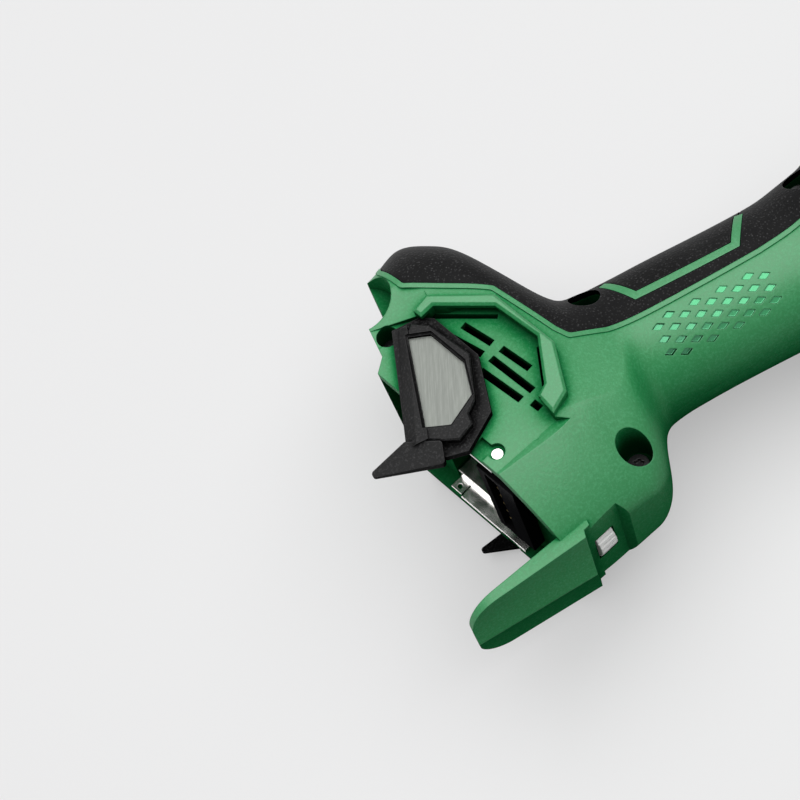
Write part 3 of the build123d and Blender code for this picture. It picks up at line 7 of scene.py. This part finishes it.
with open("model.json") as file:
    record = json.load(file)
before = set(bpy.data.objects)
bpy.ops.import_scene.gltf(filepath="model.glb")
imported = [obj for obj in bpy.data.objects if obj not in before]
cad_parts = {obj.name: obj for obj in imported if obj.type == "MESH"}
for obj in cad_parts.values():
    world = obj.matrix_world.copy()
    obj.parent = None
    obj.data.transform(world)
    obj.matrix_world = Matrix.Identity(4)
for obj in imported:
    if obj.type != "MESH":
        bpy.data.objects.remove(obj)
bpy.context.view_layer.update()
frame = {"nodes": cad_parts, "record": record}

# Cordless die grinder on its left flank, without its battery, in the CAD frame and in metres
nodes = frame["nodes"]
scene = bpy.context.scene
MM = 0.001

# Camera: where the photograph was taken from, and how far it was rolled and tilted
camera_place = Vector((-0.3709, -0.28015, 0.52039))
camera_tilt = math.radians(30)
camera_roll = math.radians(26)
focal_px = 1917.0
image_px = 800.0
sensor_mm = 36.0
nearest_seen = 0.01

# Floor just below the tool, and how strongly it and the backdrop glow where they are seen
floor_height = -0.0392
floor_reach = 4.0
floor_color = (0.40, 0.40, 0.403)
floor_rough = 0.85
floor_glow = 0.39
mottle_per_m = 6.0
mottle_share = 0.98
world_light = 0.06
world_seen = 0.80

# Light: one broad softbox above the tool
softbox_place = (-0.25, 0.10, 1.25)
softbox_size = 2.1
softbox_power = 32.0
light_aim = (-0.33, 0.0, 0.0)

# Diamonds on the grip: how far their floors are from the spindle's axis, where they lie, and their polish
diamond_floor = 23.32 * MM
diamond_below = 0.3 * MM
diamond_above = 0.05 * MM
diamond_step = 0.03 * MM
diamond_span = (-0.300, -0.240)
diamond_side = (-0.0185, -0.0040)
diamond_margin = 1.0 * MM
diamond_tint = (0.30, 1.0, 0.55)
diamond_rough = 0.12
diamond_specular = 2.4

# Painted shade in recesses and on faces turned to the floor: how far it looks for walls, how dark it goes,
# and how open a point is where colour and shine grow
painted_shade_reach = 150 * MM
painted_shade_share = 0.15
painted_shade_samples = 12
painted_shade_open = (0.2, 0.8)
shine_shade_open = (0.74, 1.0)

# Edges: their width, and the cosine of the turn of a rounded normal where wear begins and is full
plastic_edge = 0.5 * MM
metal_edge = 0.3 * MM
edge_samples = 6
edge_turn = (0.995, 0.85)

# Surface noise: the band in which it mostly lies, its blotches and flecks (some of them painted glints),
# and what it does to gloss
noise_band = (0.3, 0.7)
blotch_per_m = 45.0
blotch_detail = 4.0
blotch_share = 0.35
fleck_band = 0.35
gloss_less = 0.06
gloss_more = 0.08

# Leather: where a cell's bulge ends, in cell sizes, and how much finer the noise on it is
cell_reach = 0.8
cell_noise = 1.3

# Wire cloth: streaks along the wires, how bright they are, and the heights of a gap's painted shade and of
# a wire's back
streak_per_m = (2500.0, 90.0, 90.0)
streak_band = (0.35, 0.7)
streak_shares = (0.85, 1.35)
gap_shade_band = (0.35, 0.85)
cloth_gloss = 0.08
cloth_strength = 0.5
cloth_depth = 0.1 * MM
cloth_metallic = 0.4

# Grain of worked metal, per metre along each axis: turned on the spindle's axis, drawn, and cast
turned_lines = (9000.0, 60.0, 60.0)
drawn_lines = (150.0, 150.0, 9000.0)
cast_grain = (1800.0, 1800.0, 1800.0)

# Colours that are named, linear
WHITE = (1.0, 1.0, 1.0)
GREEN = (0.009, 0.200, 0.052)
GREEN_LIGHT = (0.024, 0.255, 0.082)
GREEN_SPECK = (0.045, 0.300, 0.115)
BLACK = (0.0030, 0.0030, 0.0032)
GREY = (0.018, 0.018, 0.0185)
# Lighter flecks on the grain's peaks of black parts and on their worn edges: partly painted glints
SPECK_AND_GLINT = (0.070, 0.070, 0.071)

# Sockets of a mix node for colours
MIX_FACTOR = 0
MIX_FIRST = 6
MIX_SECOND = 7
MIX_RESULT = 2


def link_nodes(tree, source, socket, target, name):
    """Join an output socket of one shader node to an input of another."""
    tree.links.new(source.outputs[socket], target.inputs[name])


def shader(name):
    """New material with an empty tree, a principled shader and object coordinates."""
    made = bpy.data.materials.new(name)
    made.use_nodes = True
    tree = made.node_tree
    tree.nodes.clear()
    out = tree.nodes.new("ShaderNodeOutputMaterial")
    body = tree.nodes.new("ShaderNodeBsdfPrincipled")
    place = tree.nodes.new("ShaderNodeTexCoord")
    link_nodes(tree, body, "BSDF", out, "Surface")
    return made, tree, body, place


def stretched(tree, place, scale, turn=(0, 0, 0)):
    """Object coordinates, turned and then stretched along each axis."""
    turned = tree.nodes.new("ShaderNodeVectorRotate")
    turned.rotation_type = "EULER_XYZ"
    turned.inputs["Rotation"].default_value = turn
    link_nodes(tree, place, "Object", turned, "Vector")
    made = tree.nodes.new("ShaderNodeVectorMath")
    made.operation = "MULTIPLY"
    made.inputs[1].default_value = scale
    link_nodes(tree, turned, "Vector", made, 0)
    return made


def noise(tree, place, scale, detail=3.0, roughness=0.55, socket="Object"):
    """Noise over coordinates: scale is in features to one unit of them."""
    made = tree.nodes.new("ShaderNodeTexNoise")
    made.inputs["Scale"].default_value = scale
    made.inputs["Detail"].default_value = detail
    made.inputs["Roughness"].default_value = roughness
    link_nodes(tree, place, socket, made, "Vector")
    return made


def waves(tree, place, pitch, turn):
    """Even ridges of a given pitch, across a turned X axis."""
    across = stretched(tree, place, (1, 1, 1), turn)
    made = tree.nodes.new("ShaderNodeTexWave")
    # At scale 1 the node's bands repeat every pi / 10
    made.inputs["Scale"].default_value = math.pi / 10 / pitch
    link_nodes(tree, across, "Vector", made, "Vector")
    return made


def spread(tree, source, socket, low, high, to_low, to_high):
    """Map a range of values to another."""
    made = tree.nodes.new("ShaderNodeMapRange")
    made.inputs["From Min"].default_value = low
    made.inputs["From Max"].default_value = high
    made.inputs["To Min"].default_value = to_low
    made.inputs["To Max"].default_value = to_high
    link_nodes(tree, source, socket, made, "Value")
    return made


def arithmetic(tree, operation, first, second):
    """Product or maximum of two (node, socket) pairs."""
    made = tree.nodes.new("ShaderNodeMath")
    made.operation = operation
    for slot, (source, socket) in enumerate((first, second)):
        link_nodes(tree, source, socket, made, slot)
    return made


def between(tree, source, socket, low, high, soft):
    """One where a value lies between two limits, fading to zero over a soft margin outside them."""
    above = spread(tree, source, socket, low - soft, low, 0.0, 1.0)
    below = spread(tree, source, socket, high, high + soft, 1.0, 0.0)
    return arithmetic(tree, "MULTIPLY", (above, "Result"), (below, "Result"))


def shaded(color, share):
    """A colour made darker or lighter."""
    return tuple(share * channel for channel in color)


def mix_colors(tree, factor, socket, first, second):
    """Mix of two colours by a factor. Each colour is a tuple or another mix."""
    made = tree.nodes.new("ShaderNodeMix")
    made.data_type = "RGBA"
    link_nodes(tree, factor, socket, made, MIX_FACTOR)
    for value, slot in ((first, MIX_FIRST), (second, MIX_SECOND)):
        if isinstance(value, tuple):
            made.inputs[slot].default_value = (*value, 1.0)
        else:
            link_nodes(tree, value, MIX_RESULT, made, slot)
    return made


def edge_mask(tree, radius):
    """Where an edge is: how far a rounded normal turns away from the true one. The rounded normal too."""
    rounded = tree.nodes.new("ShaderNodeBevel")
    rounded.samples = edge_samples
    rounded.inputs["Radius"].default_value = radius
    true = tree.nodes.new("ShaderNodeNewGeometry")
    dot = tree.nodes.new("ShaderNodeVectorMath")
    dot.operation = "DOT_PRODUCT"
    link_nodes(tree, rounded, "Normal", dot, 0)
    link_nodes(tree, true, "Normal", dot, 1)
    return spread(tree, dot, "Value", *edge_turn, 0.0, 1.0), rounded


def uneven_gloss(tree, body, source, socket, low, high):
    """Roughness between two values, led by a noise or a height."""
    gloss = spread(tree, source, socket, *noise_band, low, high)
    link_nodes(tree, gloss, "Result", body, "Roughness")


def bumped(tree, body, source, socket, strength, depth):
    """Bump of a given depth, led by a height."""
    bump = tree.nodes.new("ShaderNodeBump")
    bump.inputs["Strength"].default_value = strength
    bump.inputs["Distance"].default_value = depth
    link_nodes(tree, source, socket, bump, "Height")
    link_nodes(tree, bump, "Normal", body, "Normal")
    return bump


def finish(tree, body, place, height, depth, color, light, rough, edge, edge_light, strength=0.6,
           specular=0.5, flecks=0.0, fleck_from=0.35, speck_and_glint=None, painted_shade=True):
    """Colour in soft blotches with lighter edges and flecks, painted shade in recesses and under the tool,
    uneven gloss and a bump.
    """
    blotch = noise(tree, place, blotch_per_m, blotch_detail)
    worn, rounded = edge_mask(tree, edge)
    tone = spread(tree, blotch, "Fac", *noise_band, 0.0, blotch_share)
    shade = mix_colors(tree, tone, "Result", color, light)
    wear = spread(tree, worn, "Result", 0.0, 1.0, 0.0, edge_light)
    # Flecks: lighter colour on the grain's peaks; on the black rubber and filter they are partly painted
    # glints
    grain = spread(tree, *height, fleck_from, fleck_from + fleck_band, 0.0, flecks)
    amount = arithmetic(tree, "MAXIMUM", (wear, "Result"), (grain, "Result"))
    final = mix_colors(tree, amount, "Value", shade, speck_and_glint or light)
    body.inputs["Specular IOR Level"].default_value = specular
    # Painted shade: the colour darkens towards a dark copy of itself, and the shine fades, where walls or
    # the floor are near
    if painted_shade:
        occlusion = tree.nodes.new("ShaderNodeAmbientOcclusion")
        occlusion.samples = painted_shade_samples
        occlusion.inputs["Distance"].default_value = painted_shade_reach
        unshaded = spread(tree, occlusion, "AO", *painted_shade_open, 0.0, 1.0)
        final = mix_colors(tree, unshaded, "Result", shaded(color, painted_shade_share), final)
        unshaded_shine = spread(tree, occlusion, "AO", *shine_shade_open, 0.0, specular)
        link_nodes(tree, unshaded_shine, "Result", body, "Specular IOR Level")
    link_nodes(tree, final, MIX_RESULT, body, "Base Color")
    uneven_gloss(tree, body, *height, rough - gloss_less, rough + gloss_more)
    bump = bumped(tree, body, *height, strength, depth)
    link_nodes(tree, rounded, "Normal", bump, "Normal")


def moulded(name, grain_per_m, **look):
    """Moulded plastic: fine even grain."""
    made, tree, body, place = shader(name)
    grain = noise(tree, place, grain_per_m, detail=2.0, roughness=0.7)
    finish(tree, body, place, (grain, "Fac"), edge=plastic_edge, edge_light=0.5, **look)
    return made


def leather(name, cell_per_m, **look):
    """Soft rubber with a leather-like grain: small rounded cells and a fine noise."""
    made, tree, body, place = shader(name)
    cells = tree.nodes.new("ShaderNodeTexVoronoi")
    cells.inputs["Scale"].default_value = cell_per_m
    link_nodes(tree, place, "Object", cells, "Vector")
    bulge = spread(tree, cells, "Distance", 0.0, cell_reach, 1.0, 0.0)
    grain = noise(tree, place, cell_noise * cell_per_m, detail=2.0)
    height = arithmetic(tree, "MULTIPLY", (bulge, "Result"), (grain, "Fac"))
    finish(tree, body, place, (height, "Value"), edge=plastic_edge, edge_light=0.3, **look)
    return made


def metal(name, lines_per_m, metallic=1.0, depth=0.02 * MM, **look):
    """Worked metal: fine lines from noise stretched along one way of working."""
    made, tree, body, place = shader(name)
    lines = noise(tree, stretched(tree, place, lines_per_m), 1.0, roughness=0.6, socket="Vector")
    finish(tree, body, place, (lines, "Fac"), depth, edge=metal_edge, edge_light=0.6, painted_shade=False, **look)
    body.inputs["Metallic"].default_value = metallic
    return made


def ridged(name, pitch, turn, **look):
    """Metal in even ridges: laminations or wound wire."""
    made, tree, body, place = shader(name)
    ridges = waves(tree, place, pitch, turn)
    finish(tree, body, place, (ridges, "Fac"), edge=metal_edge, edge_light=0.4, strength=0.9, **look)
    body.inputs["Metallic"].default_value = 1.0
    return made


def woven(name, pitch, turn, wire, gap, rough):
    """Wire cloth: two sets of ridges, crossed, with painted shade in the gaps between the wires."""
    made, tree, body, place = shader(name)
    warp = waves(tree, place, pitch, (0, 0, turn))
    weft = waves(tree, place, pitch, (0, 0, turn + math.radians(90)))
    height = arithmetic(tree, "MAXIMUM", (warp, "Fac"), (weft, "Fac"))
    along_wire = stretched(tree, place, streak_per_m, (0, 0, turn))
    streaks = noise(tree, along_wire, 1.0, detail=4.0, roughness=0.6, socket="Vector")
    bright = spread(tree, streaks, "Fac", *streak_band, 0.0, 1.0)
    lit = mix_colors(tree, bright, "Result", *(shaded(wire, share) for share in streak_shares))
    covered = spread(tree, height, "Value", *gap_shade_band, 0.0, 1.0)
    final = mix_colors(tree, covered, "Result", gap, lit)
    link_nodes(tree, final, MIX_RESULT, body, "Base Color")
    uneven_gloss(tree, body, streaks, "Fac", rough - cloth_gloss, rough + cloth_gloss)
    bumped(tree, body, height, "Value", cloth_strength, cloth_depth)
    body.inputs["Metallic"].default_value = cloth_metallic
    return made


def polish_diamonds(made):
    """Polished floors of the diamonds on the grip: what lies nearer to the spindle than the grip's skin."""
    tree = made.node_tree
    body = next(node for node in tree.nodes if node.type == "BSDF_PRINCIPLED")
    bump = next(node for node in tree.nodes if node.type == "BUMP")
    place = next(node for node in tree.nodes if node.type == "TEX_COORD")
    across = stretched(tree, place, (0, 1, 1))
    radius = tree.nodes.new("ShaderNodeVectorMath")
    radius.operation = "LENGTH"
    link_nodes(tree, across, "Vector", radius, 0)
    axes = tree.nodes.new("ShaderNodeSeparateXYZ")
    link_nodes(tree, place, "Object", axes, "Vector")
    radii = (diamond_floor - diamond_below, diamond_floor + diamond_above)
    depth = between(tree, radius, "Value", *radii, diamond_step)
    length = between(tree, axes, "X", *diamond_span, diamond_margin)
    side = between(tree, axes, "Y", *diamond_side, diamond_margin)
    zone = arithmetic(tree, "MULTIPLY", (length, "Value"), (side, "Value"))
    mask = arithmetic(tree, "MULTIPLY", (depth, "Value"), (zone, "Value"))
    tint = mix_colors(tree, mask, "Value", WHITE, diamond_tint)
    link_nodes(tree, tint, MIX_RESULT, body, "Specular Tint")
    for name, polished in (("Roughness", diamond_rough), ("Specular IOR Level", diamond_specular)):
        plain = body.inputs[name].links[0].from_socket
        blend = tree.nodes.new("ShaderNodeMix")
        tree.links.new(plain, blend.inputs["A"])
        blend.inputs["B"].default_value = polished
        link_nodes(tree, mask, "Value", blend, "Factor")
        link_nodes(tree, blend, "Result", body, name)
    smooth = spread(tree, mask, "Value", 0.0, 1.0, bump.inputs["Strength"].default_value, 0.0)
    link_nodes(tree, smooth, "Result", bump, "Strength")


def seen_strength(tree, plain, seen):
    """Strength for what is seen, directly, in gloss or through glass, and another one for plain light."""
    path = tree.nodes.new("ShaderNodeLightPath")
    opaque = arithmetic(tree, "MAXIMUM", (path, "Is Camera Ray"), (path, "Is Glossy Ray"))
    either = arithmetic(tree, "MAXIMUM", (opaque, "Value"), (path, "Is Transmission Ray"))
    return spread(tree, either, "Value", 0.0, 1.0, plain, seen)


# Materials: how each slot of the record is made, and its look
looks = {
    "green_plastic": (moulded, dict(
        color=GREEN, light=GREEN_LIGHT, rough=0.44, grain_per_m=1150, depth=0.12 * MM, specular=0.85,
        flecks=0.9, fleck_from=0.45, speck_and_glint=GREEN_SPECK)),
    "soft_grip": (leather, dict(
        color=BLACK, light=GREY, rough=0.55, cell_per_m=1150, depth=0.25 * MM, specular=0.08,
        flecks=0.9, fleck_from=0.27, speck_and_glint=SPECK_AND_GLINT)),
    "filter_black": (moulded, dict(
        color=BLACK, light=GREY, rough=0.46, grain_per_m=1400, depth=0.12 * MM, specular=0.14,
        flecks=0.9, fleck_from=0.52, speck_and_glint=SPECK_AND_GLINT)),
    "mesh_steel": (woven, dict(
        wire=(0.24, 0.256, 0.233), gap=(0.113, 0.121, 0.110), rough=0.5, pitch=0.34 * MM,
        turn=math.radians(20))),
    "dial_white": (moulded, dict(
        color=(0.92, 0.92, 0.905), light=(0.94, 0.94, 0.93), rough=0.4, grain_per_m=2400, depth=0.03 * MM,
        painted_shade=False)),
    "black_steel": (metal, dict(
        color=(0.02, 0.02, 0.021), light=(0.10, 0.10, 0.10), rough=0.34, lines_per_m=turned_lines,
        metallic=0.8)),
    "bright_steel": (metal, dict(
        color=(0.84, 0.84, 0.81), light=(0.92, 0.92, 0.90), rough=0.20, lines_per_m=drawn_lines)),
    "machined_steel": (metal, dict(
        color=(0.50, 0.50, 0.50), light=(0.66, 0.66, 0.66), rough=0.26, lines_per_m=turned_lines)),
    "terminal_plastic": (moulded, dict(
        color=(0.02, 0.02, 0.022), light=GREY, rough=0.45, grain_per_m=2400, depth=0.04 * MM)),
    "terminal_brass": (metal, dict(
        color=(0.60, 0.43, 0.17), light=(0.75, 0.60, 0.30), rough=0.30, lines_per_m=drawn_lines)),
    "cast_aluminium": (metal, dict(
        color=(0.40, 0.40, 0.41), light=(0.58, 0.58, 0.58), rough=0.42, lines_per_m=cast_grain,
        depth=0.06 * MM, metallic=0.95)),
    "board_resin": (moulded, dict(
        color=(0.02, 0.06, 0.03), light=(0.04, 0.10, 0.05), rough=0.3, grain_per_m=800, depth=0.04 * MM)),
    "lead_insulation": (moulded, dict(
        color=BLACK, light=GREY, rough=0.5, grain_per_m=900, depth=0.03 * MM)),
    "black_plastic": (moulded, dict(
        color=BLACK, light=GREY, rough=0.5, grain_per_m=2400, depth=0.05 * MM, specular=0.1)),
    "white_plastic": (moulded, dict(
        color=(0.60, 0.58, 0.53), light=(0.72, 0.71, 0.67), rough=0.45, grain_per_m=2400, depth=0.04 * MM)),
    "core_steel": (ridged, dict(
        color=(0.20, 0.20, 0.21), light=(0.35, 0.35, 0.36), rough=0.4, pitch=0.5 * MM, turn=(0, 0, 0),
        depth=0.05 * MM)),
    "copper_wire": (ridged, dict(
        color=(0.50, 0.18, 0.07), light=(0.65, 0.30, 0.14), rough=0.35, pitch=0.8 * MM,
        turn=(0, 0, math.radians(90)), depth=0.2 * MM)),
    "felt": (moulded, dict(
        color=(0.25, 0.23, 0.20), light=(0.35, 0.33, 0.30), rough=0.9, grain_per_m=1800, depth=0.3 * MM)),
    "black_rubber": (leather, dict(
        color=BLACK, light=(0.03, 0.03, 0.03), rough=0.55, cell_per_m=1500, depth=0.08 * MM)),
}
materials = {slot: make(slot, **look) for slot, (make, look) in looks.items()}
polish_diamonds(materials["green_plastic"])
for part in frame["record"]["subparts"]:
    piece = nodes[part["node"]]
    coat = materials[part["material_slot"]]
    if not piece.material_slots:
        piece.data.materials.append(coat)
    for slot in piece.material_slots:
        slot.material = coat

# Floor
corners = ((-floor_reach, -floor_reach), (floor_reach, -floor_reach), (floor_reach, floor_reach),
           (-floor_reach, floor_reach))
floor_mesh = bpy.data.meshes.new("floor")
floor_mesh.from_pydata([(x, y, floor_height) for x, y in corners], [], [(0, 1, 2, 3)])
floor = bpy.data.objects.new("floor", floor_mesh)
scene.collection.objects.link(floor)
paper, paper_tree, paper_body, paper_place = shader("floor_paper")
mottle = noise(paper_tree, paper_place, mottle_per_m)
paper_mix = mix_colors(paper_tree, mottle, "Fac", shaded(floor_color, mottle_share), floor_color)
link_nodes(paper_tree, paper_mix, MIX_RESULT, paper_body, "Base Color")
paper_body.inputs["Roughness"].default_value = floor_rough
glow = seen_strength(paper_tree, plain=0.0, seen=floor_glow)
paper_body.inputs["Emission Color"].default_value = (*WHITE, 1.0)
link_nodes(paper_tree, glow, "Result", paper_body, "Emission Strength")
floor_mesh.materials.append(paper)

# Softbox, turned to the tail
softbox_data = bpy.data.lights.new("softbox", "AREA")
softbox_data.shape = "SQUARE"
softbox_data.size = softbox_size
softbox_data.energy = softbox_power
softbox = bpy.data.objects.new("softbox", softbox_data)
softbox.location = softbox_place
softbox.rotation_euler = (Vector(light_aim) - Vector(softbox_place)).to_track_quat("-Z", "Y").to_euler()
scene.collection.objects.link(softbox)

# Backdrop
world = bpy.data.worlds.new("studio")
scene.world = world
world.use_nodes = True
sky = world.node_tree.nodes["Background"]
sky.inputs["Color"].default_value = (*WHITE, 1.0)
backdrop = seen_strength(world.node_tree, plain=world_light, seen=world_seen)
link_nodes(world.node_tree, backdrop, "Result", sky, "Strength")

# Camera matrix: columns are right, up and back
forward = Vector((0, math.sin(camera_tilt), -math.cos(camera_tilt)))
level_up = Vector((0, math.cos(camera_tilt), math.sin(camera_tilt)))
level_right = Vector((1, 0, 0))
right = level_right * math.cos(camera_roll) - level_up * math.sin(camera_roll)
up = level_right * math.sin(camera_roll) + level_up * math.cos(camera_roll)
camera_data = bpy.data.cameras.new("camera")
camera_data.sensor_width = sensor_mm
camera_data.lens = focal_px / image_px * sensor_mm
camera_data.clip_start = nearest_seen
camera = bpy.data.objects.new("camera", camera_data)
camera.matrix_world = Matrix.Translation(camera_place) @ Matrix((right, up, -forward)).transposed().to_4x4()
scene.collection.objects.link(camera)
scene.camera = camera
scene.view_settings.view_transform = "Standard"
